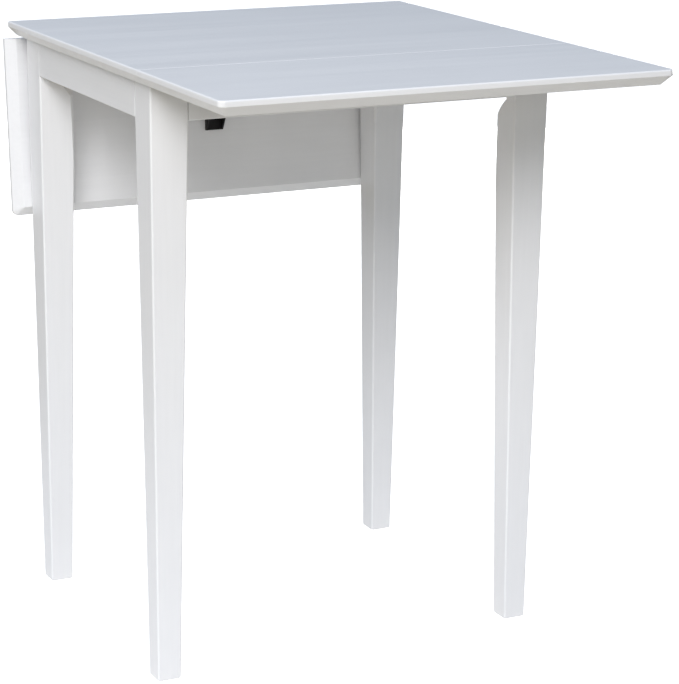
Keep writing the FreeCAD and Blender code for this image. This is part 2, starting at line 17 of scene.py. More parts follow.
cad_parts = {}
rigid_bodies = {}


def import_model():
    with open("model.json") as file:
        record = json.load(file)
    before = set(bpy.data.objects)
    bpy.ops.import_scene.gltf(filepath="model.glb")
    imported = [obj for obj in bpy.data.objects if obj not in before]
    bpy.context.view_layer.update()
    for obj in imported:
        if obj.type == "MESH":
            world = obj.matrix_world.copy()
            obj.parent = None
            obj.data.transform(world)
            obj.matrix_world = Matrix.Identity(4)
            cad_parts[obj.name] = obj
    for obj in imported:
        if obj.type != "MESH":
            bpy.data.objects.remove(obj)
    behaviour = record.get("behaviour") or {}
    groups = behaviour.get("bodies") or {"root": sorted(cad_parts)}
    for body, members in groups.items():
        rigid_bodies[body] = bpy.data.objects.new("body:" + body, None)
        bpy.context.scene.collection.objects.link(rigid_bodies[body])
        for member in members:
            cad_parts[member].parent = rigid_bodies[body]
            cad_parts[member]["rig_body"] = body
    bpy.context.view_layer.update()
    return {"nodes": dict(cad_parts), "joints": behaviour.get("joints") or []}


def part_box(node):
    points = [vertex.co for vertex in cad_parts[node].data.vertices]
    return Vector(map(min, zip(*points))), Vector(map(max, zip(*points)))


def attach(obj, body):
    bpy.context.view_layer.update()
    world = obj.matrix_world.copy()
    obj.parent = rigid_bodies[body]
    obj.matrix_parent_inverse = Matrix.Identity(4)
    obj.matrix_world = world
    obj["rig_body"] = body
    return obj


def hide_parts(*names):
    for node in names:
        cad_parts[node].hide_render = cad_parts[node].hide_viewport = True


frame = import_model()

scene = bpy.context.scene
NODES = frame["nodes"]
JOINTS = {joint["name"]: joint for joint in frame["joints"]}
MM = 0.001

# %% [markdown]
# ## Camera
# The table is looked at from its front left, a little above the top, from about three metres away with a
# long lens. The camera is made first because everything else is judged through it. A long lens keeps the
# legs nearly parallel, as the eye expects of furniture.

# %% Camera
CAMERA_PLACE = Vector((-1.2928, -2.6445, 1.1784))
CAMERA_TURN = math.radians(26.636)
CAMERA_TILT = math.radians(-15.191)
CAMERA_ROLL = math.radians(0.63)
CAMERA_LENS = 126.43


def camera_axes(turn, tilt, roll):
    """Right, up and backward directions of a camera that looks along +Y before it turns."""
    forward = Vector((math.sin(turn) * math.cos(tilt), math.cos(turn) * math.cos(tilt), math.sin(tilt)))
    level = Vector((math.cos(turn), -math.sin(turn), 0.0))
    above = level.cross(forward)
    right = level * math.cos(roll) + above * math.sin(roll)
    up = above * math.cos(roll) - level * math.sin(roll)
    return right, up, -forward


def set_camera():
    """Makes the camera and points it."""
    lens = bpy.data.cameras.new("camera")
    lens.lens = CAMERA_LENS
    lens.sensor_width = 36.0
    lens.clip_start = 0.05
    lens.clip_end = 100.0
    camera = bpy.data.objects.new("camera", lens)
    scene.collection.objects.link(camera)
    turned = Matrix(camera_axes(CAMERA_TURN, CAMERA_TILT, CAMERA_ROLL)).transposed()
    camera.matrix_world = Matrix.Translation(CAMERA_PLACE) @ turned.to_4x4()
    scene.camera = camera


set_camera()
print("camera: lens", CAMERA_LENS, "mm at", tuple(CAMERA_PLACE))

# %% [markdown]
# ## One way to add nodes
# Materials, the sky and Geometry Nodes trees are all built from nodes. One helper adds a node, sets its
# options and fills its inputs, so that each recipe below reads as a list of what goes into what.

# %% Node helper
def add(tree, kind, inputs=None, **options):
    """Adds a node. Each input is given by name or number, as a value or as another node's output."""
    made = tree.nodes.new(kind)
    for name, value in options.items():
        setattr(made, name, value)
    for name, value in (inputs or {}).items():
        if isinstance(value, bpy.types.NodeSocket):
            tree.links.new(value, made.inputs[name])
        else:
            made.inputs[name].default_value = value
    return made


def math_node(tree, operation, *values):
    """The result of one sum on numbers or sockets."""
    return add(tree, "ShaderNodeMath", dict(enumerate(values)), operation=operation).outputs[0]


def times(tree, first, second):
    """One number or socket times another."""
    return math_node(tree, "MULTIPLY", first, second)


def plus(tree, first, second):
    """The sum of two numbers or sockets."""
    return math_node(tree, "ADD", first, second)


def minus(tree, first, second):
    """The first number or socket less the second."""
    return math_node(tree, "SUBTRACT", first, second)


# %% [markdown]
# ## Studio
# The studio is a plain pale floor, a big soft light above the front left, weak fills from the left, the front
# and above, a low one behind the table, and a dim blue-grey surround. The surround is what the satin top
# mirrors at a flat angle, so it decides the cool grey of the top, while the big light keeps the front faces
# almost white. The floor's colour is a painted pool of light, bright round the feet and duller further out,
# and the light it sends back up under the boards lights the bevels and aprons. It has no underside, so the
# table can be looked at from below.

# %% Studio light and floor
SURROUND = (0.40, 0.47, 0.58, 1.0)
SURROUND_STRENGTH = 0.55


def set_surround():
    """A dim surround that lights the table, and a white one that the camera sees."""
    world = bpy.data.worlds.new("studio")
    scene.world = world
    world.use_nodes = True
    tree = world.node_tree
    tree.nodes.clear()
    lighting = add(tree, "ShaderNodeBackground", {"Color": SURROUND, "Strength": SURROUND_STRENGTH})
    seen = add(tree, "ShaderNodeBackground", {"Color": (1, 1, 1, 1), "Strength": 1.0})
    path = add(tree, "ShaderNodeLightPath")
    mixed = add(tree, "ShaderNodeMixShader",
                {0: path.outputs["Is Camera Ray"], 1: lighting.outputs[0], 2: seen.outputs[0]})
    add(tree, "ShaderNodeOutputWorld", {"Surface": mixed.outputs[0]})


def soft_light(name, place, aim, width, height, power, colour):
    """A rectangular soft box at a place, facing a point."""
    lamp = bpy.data.lights.new(name, "AREA")
    lamp.shape = "RECTANGLE"
    lamp.size = width
    lamp.size_y = height
    lamp.energy = power
    lamp.color = colour
    holder = bpy.data.objects.new(name, lamp)
    scene.collection.objects.link(holder)
    holder.visible_camera = False
    holder.location = place
    holder.rotation_mode = "QUATERNION"
    holder.rotation_quaternion = (Vector(aim) - Vector(place)).to_track_quat("-Z", "Y")


FLOOR_SIZE = 40.0
FLOOR_SEEN = (0.90, 0.90, 0.90)
FLOOR_GLOW = 1.0
# Painted pool of light on the floor: lighter round the feet, duller and warmer further out, in place of light
# that falls there.
FLOOR_PAINTED_POOL = (0.90, 0.87, 0.815)
FLOOR_PAINTED_DIM = (0.29, 0.235, 0.125)
FLOOR_NEAR_REACH = 0.7
FLOOR_FAR_REACH = 1.5


def painted_floor_pool(tree):
    """A painted pool of light on the floor, which it returns as light: bright round the table's feet, duller
    and warmer further out.
    """
    coordinates = add(tree, "ShaderNodeTexCoord")
    distance = add(tree, "ShaderNodeVectorMath", {0: coordinates.outputs["Object"]}, operation="LENGTH")
    share = add(tree, "ShaderNodeMapRange",
                {"Value": distance.outputs["Value"],
                 "From Min": FLOOR_NEAR_REACH, "From Max": FLOOR_FAR_REACH})
    mix = add(tree, "ShaderNodeMix",
              {0: share.outputs["Result"], 6: (*FLOOR_PAINTED_POOL, 1.0), 7: (*FLOOR_PAINTED_DIM, 1.0)}, data_type="RGBA")
    return add(tree, "ShaderNodeBsdfDiffuse", {"Color": mix.outputs[2]})


def pale_floor():
    """A plain floor: nearly white to the eye, with a painted pool of light that it returns to the table, and
    clear from below.
    """
    half = FLOOR_SIZE / 2
    corners = [(-half, -half, 0), (half, -half, 0), (half, half, 0), (-half, half, 0)]
    mesh = bpy.data.meshes.new("floor")
    mesh.from_pydata(corners, [], [(0, 1, 2, 3)])
    floor = bpy.data.objects.new("floor", mesh)
    scene.collection.objects.link(floor)
    material = bpy.data.materials.new("pale_floor")
    material.use_nodes = True
    tree = material.node_tree
    tree.nodes.clear()
    path = add(tree, "ShaderNodeLightPath")
    seen = add(tree, "ShaderNodeBsdfDiffuse", {"Color": (*FLOOR_SEEN, 1.0)})
    glow = add(tree, "ShaderNodeEmission", {"Color": (1, 1, 1, 1), "Strength": FLOOR_GLOW})
    bright = add(tree, "ShaderNodeAddShader", {0: seen.outputs[0], 1: glow.outputs[0]})
    # The table is lit back by this painted pool of light on the floor.
    painted_pool = painted_floor_pool(tree)
    mixed = add(tree, "ShaderNodeMixShader",
                {0: path.outputs["Is Camera Ray"], 1: painted_pool.outputs[0], 2: bright.outputs[0]})
    side = add(tree, "ShaderNodeNewGeometry")
    clear = add(tree, "ShaderNodeBsdfTransparent")
    one_sided = add(tree, "ShaderNodeMixShader",
                    {0: side.outputs["Backfacing"], 1: mixed.outputs[0], 2: clear.outputs[0]})
    add(tree, "ShaderNodeOutputMaterial", {"Surface": one_sided.outputs[0]})
    mesh.materials.append(material)


scene.view_settings.view_transform = "Standard"
set_surround()
soft_light("key", place=(-2.4, -3.4, 3.2), aim=(0, 0, 0.5), width=2.6, height=2.0,
           power=196, colour=(0.99, 0.985, 1.0))
soft_light("left", place=(-3.4, 0.8, 1.7), aim=(0, 0, 0.5), width=2.0, height=2.0,
           power=24, colour=(0.99, 0.985, 1.0))
soft_light("low_front", place=(-0.6, -4.4, 1.35), aim=(0, 0, 0.5), width=2.4, height=1.0,
           power=13, colour=(1.0, 0.98, 0.97))
soft_light("back_right", place=(2.4, 2.9, 0.40), aim=(0, 0, 0.40), width=3.0, height=0.6,
           power=75, colour=(1.0, 0.985, 0.965))
soft_light("overhead", place=(0, 0.2, 3.4), aim=(0, 0, 0.7), width=3.0, height=3.0,
           power=20, colour=(0.88, 0.94, 1.0))
pale_floor()
print("studio:", len(bpy.data.lights), "lights, a surround and a floor")

# %% [markdown]
# ## Satin white paint
# The visible wood is sprayed with white satin lacquer. Paint is never one flat colour: it is a touch
# warmer where it is thick, the straight grain of the wood below shows through as fine streaks, and the
# sheen changes a little from place to place. A noise stretched along the grain gives the streaks, a broad
# noise gives the tone, and a very fine noise gives the pebbled skin of a sprayed coat.

# %% Paint
PAINT_WHITE = (0.83, 0.832, 0.84)
PAINT_SHADE = (0.795, 0.797, 0.804)
GRAIN_STRETCH = 28.0
STREAK_SCALE = 210.0
SHEEN_SCALE = 60.0
PORE_SCALE = 900.0
PEBBLE_SCALE = 900.0
TONE_SCALE = 5.0
STREAK_RELIEF = 0.06 * MM
PORE_RELIEF = 0.02 * MM
PEBBLE_RELIEF = 0.01 * MM
GLUE_RELIEF = 0.08 * MM
STAVE_WIDTH = 76.5 * MM


def object_coordinates(tree, scale):
    """The piece's own coordinates in metres, stretched or squeezed along each axis."""
    coordinates = add(tree, "ShaderNodeTexCoord")
    return add(tree, "ShaderNodeMapping",
               {"Vector": coordinates.outputs["Object"], "Scale": scale}).outputs["Vector"]


def noise(tree, scale, amount, detail=3.0, roughness=0.5):
    """A noise in the piece's own coordinates."""
    return add(tree, "ShaderNodeTexNoise",
               {"Vector": object_coordinates(tree, scale), "Scale": amount, "Detail": detail,
                "Roughness": roughness}).outputs["Fac"]


def remap(tree, value, low, high, new_low, new_high):
    """Stretches a range of values to another one, and holds it there."""
    return add(tree, "ShaderNodeMapRange",
               {"Value": value, "From Min": low, "From Max": high, "To Min": new_low, "To Max": new_high}
               ).outputs["Result"]


def blend_colours(tree, share, first, second):
    """A colour between two, by share."""
    mix = tree.nodes.new("ShaderNodeMix")
    mix.data_type = "RGBA"
    for socket, value in ((mix.inputs[0], share), (mix.inputs[6], first), (mix.inputs[7], second)):
        if isinstance(value, bpy.types.NodeSocket):
            tree.links.new(value, socket)
        else:
            socket.default_value = value if isinstance(value, float) else (*value[:3], 1.0)
    return mix.outputs[2]


def bump(tree, height, distance, strength, below=None):
    """A relief of a given depth in metres, on top of another relief if there is one."""
    inputs = {"Height": height, "Distance": distance, "Strength": strength}
    if below is not None:
        inputs["Normal"] = below
    return add(tree, "ShaderNodeBump", inputs).outputs["Normal"]


def new_material(name, base, **fixed):
    """A material with its surface shader, and the sockets that are the same all over."""
    material = bpy.data.materials.new(name)
    material.use_nodes = True
    tree = material.node_tree
    shader = tree.nodes["Principled BSDF"]
    shader.inputs["Base Color"].default_value = (*base, 1.0)
    material.diffuse_color = (*base, 1.0)
    for label, value in fixed.items():
        shader.inputs[label.replace("_", " ")].default_value = value
    return material, tree, shader


def along_grain(axis, across):
    """A scale that is small along the grain and large across it."""
    return [across / GRAIN_STRETCH if index == axis else across for index in range(3)]


def satin_paint(name, axis, stave_width=0.0):
    """Sprayed white lacquer over wood whose grain runs along an axis, 0 for X, 1 for Y and 2 for Z."""
    material, tree, shader = new_material(name, PAINT_WHITE, Coat_Weight=0.12, Coat_Roughness=0.18)
    streaks = noise(tree, along_grain(axis, STREAK_SCALE), 1.0, 5.0, 0.6)
    broad = noise(tree, (1, 1, 1), TONE_SCALE, 2.0)
    tone = plus(tree, times(tree, streaks, 0.45), times(tree, broad, 0.55))
    share = remap(tree, tone, 0.35, 0.68, 0.0, 1.0)
    tree.links.new(blend_colours(tree, share, PAINT_WHITE, PAINT_SHADE), shader.inputs["Base Color"])
    sheen = noise(tree, along_grain(axis, SHEEN_SCALE), 1.0, 3.0)
    tree.links.new(remap(tree, sheen, 0.3, 0.7, 0.30, 0.42), shader.inputs["Roughness"])
    pores = noise(tree, along_grain(axis, PORE_SCALE), 1.0, 3.0, 0.7)
    relief = bump(tree, streaks, STREAK_RELIEF, 0.5)
    relief = bump(tree, pores, PORE_RELIEF, 0.5, relief)
    relief = bump(tree, noise(tree, (1, 1, 1), PEBBLE_SCALE, 2.0), PEBBLE_RELIEF, 0.5, relief)
    if stave_width:
        relief = bump(tree, glue_lines(tree, 1 - axis, stave_width), GLUE_RELIEF, 0.6, relief)
    tree.links.new(relief, shader.inputs["Normal"])
    return material


def glue_lines(tree, across_axis, width):
    """Where the staves of a glued board meet: a fine line at every stave's edge."""
    coordinates = add(tree, "ShaderNodeTexCoord")
    parts = add(tree, "ShaderNodeSeparateXYZ", {0: coordinates.outputs["Object"]})
    across = math_node(tree, "DIVIDE", parts.outputs[across_axis], width)
    place = math_node(tree, "PINGPONG", across, 0.5)
    return remap(tree, place, 0.0, 0.008, 0.0, 1.0)


paint_x = satin_paint("satin_white_paint_x", 0)
paint_y = satin_paint("satin_white_paint_y", 1)
paint_z = satin_paint("satin_white_paint_z", 2)
paint_top = satin_paint("satin_white_paint_top", 0, STAVE_WIDTH)
paint_hanging = satin_paint("satin_white_paint_hanging", 0)
print("paint:", paint_x.name, paint_y.name, paint_z.name, paint_top.name, paint_hanging.name)

# %% [markdown]
# ## Bare wood, black steel and zinc
# The corner braces and dowels are unpainted rubberwood, straw coloured with short dark pores. The folding
# supports are steel with a fine black powder coat. Hinges, bolts and most screws are bright zinc plate,
# which is never a mirror: it is cloudy, lightly scratched and a little blue or yellow in patches.

# %% Wood
WOOD_LIGHT = (0.62, 0.44, 0.26)
WOOD_DARK = (0.43, 0.27, 0.135)
WOOD_PORE = (0.20, 0.11, 0.05)
RING_SCALE = (70.0, 70.0, 420.0)
WOOD_PORE_SCALE = (240.0, 240.0, 2600.0)
RING_RELIEF = 0.15 * MM
WOOD_PORE_RELIEF = -0.1 * MM


def bare_wood(name):
    """Unpainted rubberwood with its grain along X and Y, as the diagonal braces show it."""
    material, tree, shader = new_material(name, WOOD_LIGHT)
    rings = noise(tree, RING_SCALE, 1.0, 4.0, 0.55)
    pores = noise(tree, WOOD_PORE_SCALE, 1.0, 2.0, 0.5)
    pore_mask = remap(tree, pores, 0.60, 0.68, 0.0, 1.0)
    body = blend_colours(tree, remap(tree, rings, 0.35, 0.65, 0.0, 1.0), WOOD_LIGHT, WOOD_DARK)
    dark = blend_colours(tree, times(tree, pore_mask, 0.5), body, WOOD_PORE)
    tree.links.new(dark, shader.inputs["Base Color"])
    tree.links.new(remap(tree, rings, 0.3, 0.7, 0.55, 0.72), shader.inputs["Roughness"])
    relief = bump(tree, rings, RING_RELIEF, 0.5)
    tree.links.new(bump(tree, pore_mask, WOOD_PORE_RELIEF, 0.5, relief), shader.inputs["Normal"])
    return material


wood = bare_wood("bare_rubberwood")
print("wood:", wood.name)

# %% Steels
COAT_BLACK = (0.006, 0.006, 0.0062)
COAT_DEEP = (0.005, 0.005, 0.0052)
COAT_WORN = (0.018, 0.018, 0.019)
COAT_RELIEF = 0.05 * MM
ZINC_PLAIN = (0.66, 0.67, 0.69)
ZINC_BRIGHT = (0.70, 0.71, 0.73)
ZINC_DULL = (0.55, 0.56, 0.58)
ZINC_WARM = (0.68, 0.63, 0.50)
SCRATCH_RELIEF = 0.02 * MM


def black_coat(name):
    """Black powder coat: a fine pebbled skin, a little worn to grey in places."""
    material, tree, shader = new_material(name, COAT_BLACK, Specular_IOR_Level=0.25)
    scuffs = remap(tree, noise(tree, (1, 1, 1), 55.0, 6.0, 0.7), 0.62, 0.74, 0.0, 1.0)
    tree.links.new(blend_colours(tree, scuffs, COAT_DEEP, COAT_WORN), shader.inputs["Base Color"])
    patches = noise(tree, (1, 1, 1), 90.0, 3.0)
    tree.links.new(remap(tree, patches, 0.3, 0.7, 0.38, 0.55), shader.inputs["Roughness"])
    pebbles = noise(tree, (1, 1, 1), 1500.0, 2.0)
    tree.links.new(bump(tree, pebbles, COAT_RELIEF, 0.5), shader.inputs["Normal"])
    return material


def zinc_plate(name):
    """Bright zinc plate on steel: cloudy, faintly tinted, with fine scratches both ways."""
    material, tree, shader = new_material(name, ZINC_PLAIN, Metallic=1.0)
    clouds = noise(tree, (1, 1, 1), 130.0, 4.0, 0.6)
    tint = noise(tree, (1, 1, 1), 45.0, 2.0)
    plain = blend_colours(tree, remap(tree, clouds, 0.3, 0.7, 0.0, 1.0), ZINC_BRIGHT, ZINC_DULL)
    warm = blend_colours(tree, remap(tree, tint, 0.45, 0.75, 0.0, 0.35), plain, ZINC_WARM)
    tree.links.new(warm, shader.inputs["Base Color"])
    tree.links.new(remap(tree, clouds, 0.3, 0.7, 0.24, 0.46), shader.inputs["Roughness"])
    scratches = plus(tree, noise(tree, (60, 2600, 2600), 1.0, 2.0), noise(tree, (2600, 60, 2600), 1.0, 2.0))
    tree.links.new(bump(tree, scratches, SCRATCH_RELIEF, 0.4), shader.inputs["Normal"])
    return material


black = black_coat("black_powder_coat")
zinc = zinc_plate("zinc_plate")
print("steels:", black.name, zinc.name)

# %% [markdown]
# ## Finish the pieces whose shape is already right
# Aprons, braces, dowels, hinges, clips and support arms come from the frame with their real shape, so they
# only need their finish. Each arrives with a stand-in material that is named for its finish slot, and a
# board's own length says which way its grain runs.

# %% Finish by slot
def longest_axis(name):
    """0, 1 or 2 for the axis along which a node is longest."""
    low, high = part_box(name)
    size = high - low
    return max(range(3), key=lambda axis: size[axis])


def finish_for(name, slot):
    """The material for a node in a slot."""
    painted = (paint_x, paint_y, paint_z)
    if slot == "top_paint":
        return paint_top
    if slot == "base_paint":
        return painted[longest_axis(name)]
    return {"bare_wood": wood, "black_steel": black, "zinc_steel": zinc}[slot]


SLOTS = {name: piece.data.materials[0].name for name, piece in NODES.items()}
for node_name, node_object in NODES.items():
    node_object.data.materials.clear()
    node_object.data.materials.append(finish_for(node_name, SLOTS[node_name]))
print("finished", len(SLOTS), "nodes in", len(set(SLOTS.values())), "slots")

# %% [markdown]
# ## Growing a piece from a Geometry Nodes tree
# A tree is a recipe: its named inputs are the sizes, and its output is the piece. The recipe runs once, the
# result becomes a plain mesh and the modifier goes, so that the finished piece no longer depends on it.

# %% Tree helpers
SOCKET_KINDS = {float: "NodeSocketFloat", int: "NodeSocketInt", tuple: "NodeSocketVector",
                bool: "NodeSocketBool"}


def new_tree(name, sizes):
    """A geometry tree with one named input for each size, a material input, and its input sockets."""
    tree = bpy.data.node_groups.new(name, "GeometryNodeTree")
    tree.interface.new_socket("Geometry", in_out="INPUT", socket_type="NodeSocketGeometry")
    for label, value in sizes.items():
        socket = tree.interface.new_socket(label, in_out="INPUT", socket_type=SOCKET_KINDS[type(value)])
        socket.default_value = value
    tree.interface.new_socket("Material", in_out="INPUT", socket_type="NodeSocketMaterial")
    tree.interface.new_socket("Geometry", in_out="OUTPUT", socket_type="NodeSocketGeometry")
    return tree, tree.nodes.new("NodeGroupInput").outputs


def end_tree(tree, geometry, material):
    """The end of every tree: instances made real, then the material."""
    real = add(tree, "GeometryNodeRealizeInstances", {0: geometry})
    finished = add(tree, "GeometryNodeSetMaterial", {"Geometry": real.outputs[0], "Material": material})
    add(tree, "NodeGroupOutput", {0: finished.outputs[0]})


def grow(tree, name, values, start=None):
    """Runs a tree with these input values and returns the result as an object with a plain mesh."""
    piece = bpy.data.objects.new(name, start or bpy.data.meshes.new(name))
    scene.collection.objects.link(piece)
    modifier = piece.modifiers.new(tree.name, "NODES")
    modifier.node_group = tree
    for item in tree.interface.items_tree:
        if item.in_out == "INPUT" and item.name in values:
            modifier[item.identifier] = values[item.name]
    return made_plain(piece)


def made_plain(piece):
    """Turns a piece with modifiers into one plain mesh."""
    graph = bpy.context.evaluated_depsgraph_get()
    mesh = bpy.data.meshes.new_from_object(piece.evaluated_get(graph), preserve_all_data_layers=True,
                                           depsgraph=graph)
    mesh.name = piece.name
    piece.modifiers.clear()
    piece.data = mesh
    return piece


# %% Shading of rounded edges
SMOOTH_BELOW = math.radians(38)


def shade_rounded(piece):
    """Smooth rounds between flat faces: faces keep their own flatness, and real corners stay crisp."""
    mesh = piece.data
    mesh.shade_smooth()
    mesh.set_sharp_from_angle(angle=SMOOTH_BELOW)
    weighted = piece.modifiers.new("flat_faces", "WEIGHTED_NORMAL")
    weighted.keep_sharp = True
    weighted.weight = 90
    return made_plain(piece)


def stand_for(piece, node_name):
    """The piece takes a node's place on its body, and the node is hidden."""
    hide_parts(node_name)
    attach(piece, NODES[node_name]["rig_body"])
    return piece


# %% [markdown]
# ## Legs
# A leg is sawn from a 48 mm square, straight beside the aprons and tapered below them, mostly on its two
# inner faces. Its inner corner is planed to a flat where the corner brace pulls against it, and the flat
# runs out in two curves below the apron. It could be modelled face by face, but it follows a rule, so a
# tree draws it: a small rounded square is pulled up a line, spread by the taper, and cut by a shape whose
# edge is the line and the two arcs of the flat. All four legs are the same leg, turned.

# %% Leg sizes
APRON_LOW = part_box("apron_left")[0].z
FLAT_DEPTH = 19.8 * MM
FLAT_END_DROP = 6.0 * MM
SHOULDER_DROP = 28.0 * MM
SHOULDER_DEPTH = 4.9 * MM
FADE_DROP = 165.0 * MM
BEND_SHARES = (0.45, 0.35)
FADE_SHARES = (0.42, 0.50)
FADE_MIDDLE = 0.6
CUTTER_CLEAR = 20.0 * MM
CUTTER_WIDTH = 80.0 * MM
LEG_EDGE_ROUND = 2.4 * MM
FOOT_EASE = 0.8 * MM
ON_FLOOR = 0.1 * MM
TOUCHING = 0.01 * MM
WELD = 0.001 * MM


def foot_of(name):
    """Lowest and highest corner of a leg's foot."""
    points = [vertex.co for vertex in NODES[name].data.vertices if vertex.co.z < TOUCHING]
    return Vector(map(min, *points)), Vector(map(max, *points))


leg_low, leg_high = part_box("leg_front_left")
foot_low, foot_high = foot_of("leg_front_left")
LEG_SIZES = {
    "Height": leg_high.z,
    "Knee": APRON_LOW,
    "Width": leg_high.x - leg_low.x,
    "Outer Taper": foot_low.x - leg_low.x,
    "Inner Taper": leg_high.x - foot_high.x,
    "Edge Round": LEG_EDGE_ROUND,
    "Foot Ease": FOOT_EASE,
}
print("leg:", {name: round(value / MM, 2) for name, value in LEG_SIZES.items()}, "mm")

# %% Leg tree
def vector(tree, x=0.0, y=0.0, z=0.0):
    """A vector from three numbers or sockets."""
    return add(tree, "ShaderNodeCombineXYZ", {0: x, 1: y, 2: z}).outputs[0]


def upright_path(tree, sizes):
    """A line from the foot to the top, with a point at the eased end of the foot and one at the knee."""
    line = add(tree, "GeometryNodeCurvePrimitiveLine", {"End": vector(tree, z=sizes["Height"])})
    path = add(tree, "GeometryNodeResampleCurve", {"Curve": line.outputs[0], "Count": 4}).outputs[0]
    for index, height in ((1, sizes["Foot Ease"]), (2, sizes["Knee"])):
        here = add(tree, "FunctionNodeCompare", {2: add(tree, "GeometryNodeInputIndex").outputs[0], 3: index},
                   data_type="INT", operation="EQUAL")
        path = add(tree, "GeometryNodeSetPosition",
                   {"Geometry": path, "Selection": here.outputs[0],
                    "Position": vector(tree, z=height)}).outputs[0]
    return path


def tapered_stock(tree, sizes):
    """The leg before its inner corner is planed, with its outer corner at the origin."""
    foot = minus(tree, minus(tree, sizes["Width"], sizes["Outer Taper"]), sizes["Inner Taper"])
    square = add(tree, "GeometryNodeCurvePrimitiveQuadrilateral", {"Width": foot, "Height": foot})
    rounded = add(tree, "GeometryNodeFilletCurve",
                  {"Curve": square.outputs[0], "Count": 6, "Radius": sizes["Edge Round"]}, mode="POLY")
    stock = add(tree, "GeometryNodeCurveToMesh",
                {"Curve": upright_path(tree, sizes), "Profile Curve": rounded.outputs[0], "Fill Caps": True})
    place = add(tree, "ShaderNodeSeparateXYZ", {0: add(tree, "GeometryNodeInputPosition").outputs[0]})
    share = math_node(tree, "MINIMUM", math_node(tree, "DIVIDE", place.outputs["Z"], sizes["Knee"]), 1.0)
    at_foot = math_node(tree, "LESS_THAN", place.outputs["Z"], ON_FLOOR)
    spread = minus(tree, times(tree, share, times(tree, minus(tree, sizes["Width"], foot), 0.5)),
                   times(tree, at_foot, sizes["Foot Ease"]))
    lean = times(tree, share, times(tree, minus(tree, sizes["Inner Taper"], sizes["Outer Taper"]), 0.5))
    middle = plus(tree, sizes["Outer Taper"], times(tree, foot, 0.5))
    moves = []
    for axis in ("X", "Y"):
        side = math_node(tree, "SIGN", place.outputs[axis])
        moves.append(plus(tree, times(tree, side, spread), plus(tree, lean, middle)))
    return add(tree, "GeometryNodeSetPosition",
               {"Geometry": stock.outputs[0], "Offset": vector(tree, *moves)}).outputs[0]


def flat_outline(sizes):
    """The flat's edge in a plane: depth from the corner as -X, height as Y. Lists of 2 or 3 points a run."""
    recess = sizes["Inner Taper"] * math.sqrt(2) * FADE_DROP / sizes["Knee"]
    shoulder = sizes["Knee"] - SHOULDER_DROP
    flat_end = sizes["Knee"] - FLAT_END_DROP
    fade_end = sizes["Knee"] - FADE_DROP
    top = sizes["Height"] + MM
    bend_depth = FLAT_DEPTH * BEND_SHARES[0] + SHOULDER_DEPTH * BEND_SHARES[1]
    fade_depth = SHOULDER_DEPTH * FADE_SHARES[0] + recess * FADE_SHARES[1]
    bend = (-bend_depth, (flat_end + shoulder) / 2)
    fade = (-fade_depth, shoulder * FADE_MIDDLE + fade_end * (1 - FADE_MIDDLE))
    return [
        [(-FLAT_DEPTH, top), (-FLAT_DEPTH, flat_end)],
        [(-FLAT_DEPTH, flat_end), bend, (-SHOULDER_DEPTH, shoulder)],
        [(-SHOULDER_DEPTH, shoulder), fade, (-recess, fade_end)],
        [(-recess, fade_end), (CUTTER_CLEAR, fade_end)],
        [(CUTTER_CLEAR, fade_end), (CUTTER_CLEAR, top)],
        [(CUTTER_CLEAR, top), (-FLAT_DEPTH, top)],
    ]


def corner_cutter(tree, sizes, outline):
    """A block with the flat's outline, standing across the leg's inner corner."""
    joined = add(tree, "GeometryNodeJoinGeometry")
    for run in outline:
        points = [(x, y, 0.0) for x, y in run]
        if len(points) == 2:
            curve = add(tree, "GeometryNodeCurvePrimitiveLine", {"Start": points[0], "End": points[1]})
        else:
            curve = add(tree, "GeometryNodeCurveArc",
                        {"Resolution": 24, "Start": points[0], "Middle": points[1], "End": points[2]},
                        mode="POINTS")
        drawn = add(tree, "GeometryNodeCurveToMesh", {"Curve": curve.outputs[0]})
        tree.links.new(drawn.outputs[0], joined.inputs[0])
    loop = add(tree, "GeometryNodeMergeByDistance", {"Geometry": joined.outputs[0], "Distance": TOUCHING})
    ring = add(tree, "GeometryNodeMeshToCurve", {"Mesh": loop.outputs[0]})
    face = add(tree, "GeometryNodeFillCurve", {"Curve": ring.outputs[0]}, mode="TRIANGLES")
    pulled = add(tree, "GeometryNodeExtrudeMesh",
                 {"Mesh": face.outputs[0], "Offset": (0, 0, 1), "Offset Scale": CUTTER_WIDTH,
                  "Individual": False})
    back = add(tree, "GeometryNodeFlipFaces", {"Mesh": face.outputs[0]})
    block = add(tree, "GeometryNodeJoinGeometry")
    tree.links.new(pulled.outputs["Mesh"], block.inputs[0])
    tree.links.new(back.outputs[0], block.inputs[0])
    closed = add(tree, "GeometryNodeMergeByDistance", {"Geometry": block.outputs[0], "Distance": WELD})
    centred = add(tree, "GeometryNodeTransform",
                  {"Geometry": closed.outputs[0], "Translation": (0, 0, -CUTTER_WIDTH / 2)})
    return add(tree, "GeometryNodeTransform",
               {"Geometry": centred.outputs[0], "Translation": vector(tree, sizes["Width"], sizes["Width"]),
                "Rotation": (math.pi / 2, 0, math.pi / 4)}).outputs[0]


def leg_tree():
    """The whole leg: tapered stock, its flat, then turned and moved to its corner of the base."""
    tree, sizes = new_tree("tapered_leg", {**LEG_SIZES, "Turn": 0.0, "Corner": (0.0, 0.0, 0.0)})
    cut = add(tree, "GeometryNodeMeshBoolean",
              {"Mesh 1": tapered_stock(tree, sizes),
               "Mesh 2": corner_cutter(tree, sizes, flat_outline(LEG_SIZES))}, solver="EXACT")
    placed = add(tree, "GeometryNodeTransform",
                 {"Geometry": cut.outputs[0], "Translation": sizes["Corner"],
                  "Rotation": vector(tree, z=sizes["Turn"])})
    end_tree(tree, placed.outputs[0], sizes["Material"])
    return tree


# %% Legs
LEG_TURNS = {"front_left": 0, "front_right": 1, "rear_right": 2, "rear_left": 3}


def outer_corner(name, corner):
    """The corner of a leg that is furthest from the middle of the table, at the floor."""
    low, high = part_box(name)
    return (high.x if "right" in corner else low.x, high.y if "rear" in corner else low.y, 0.0)


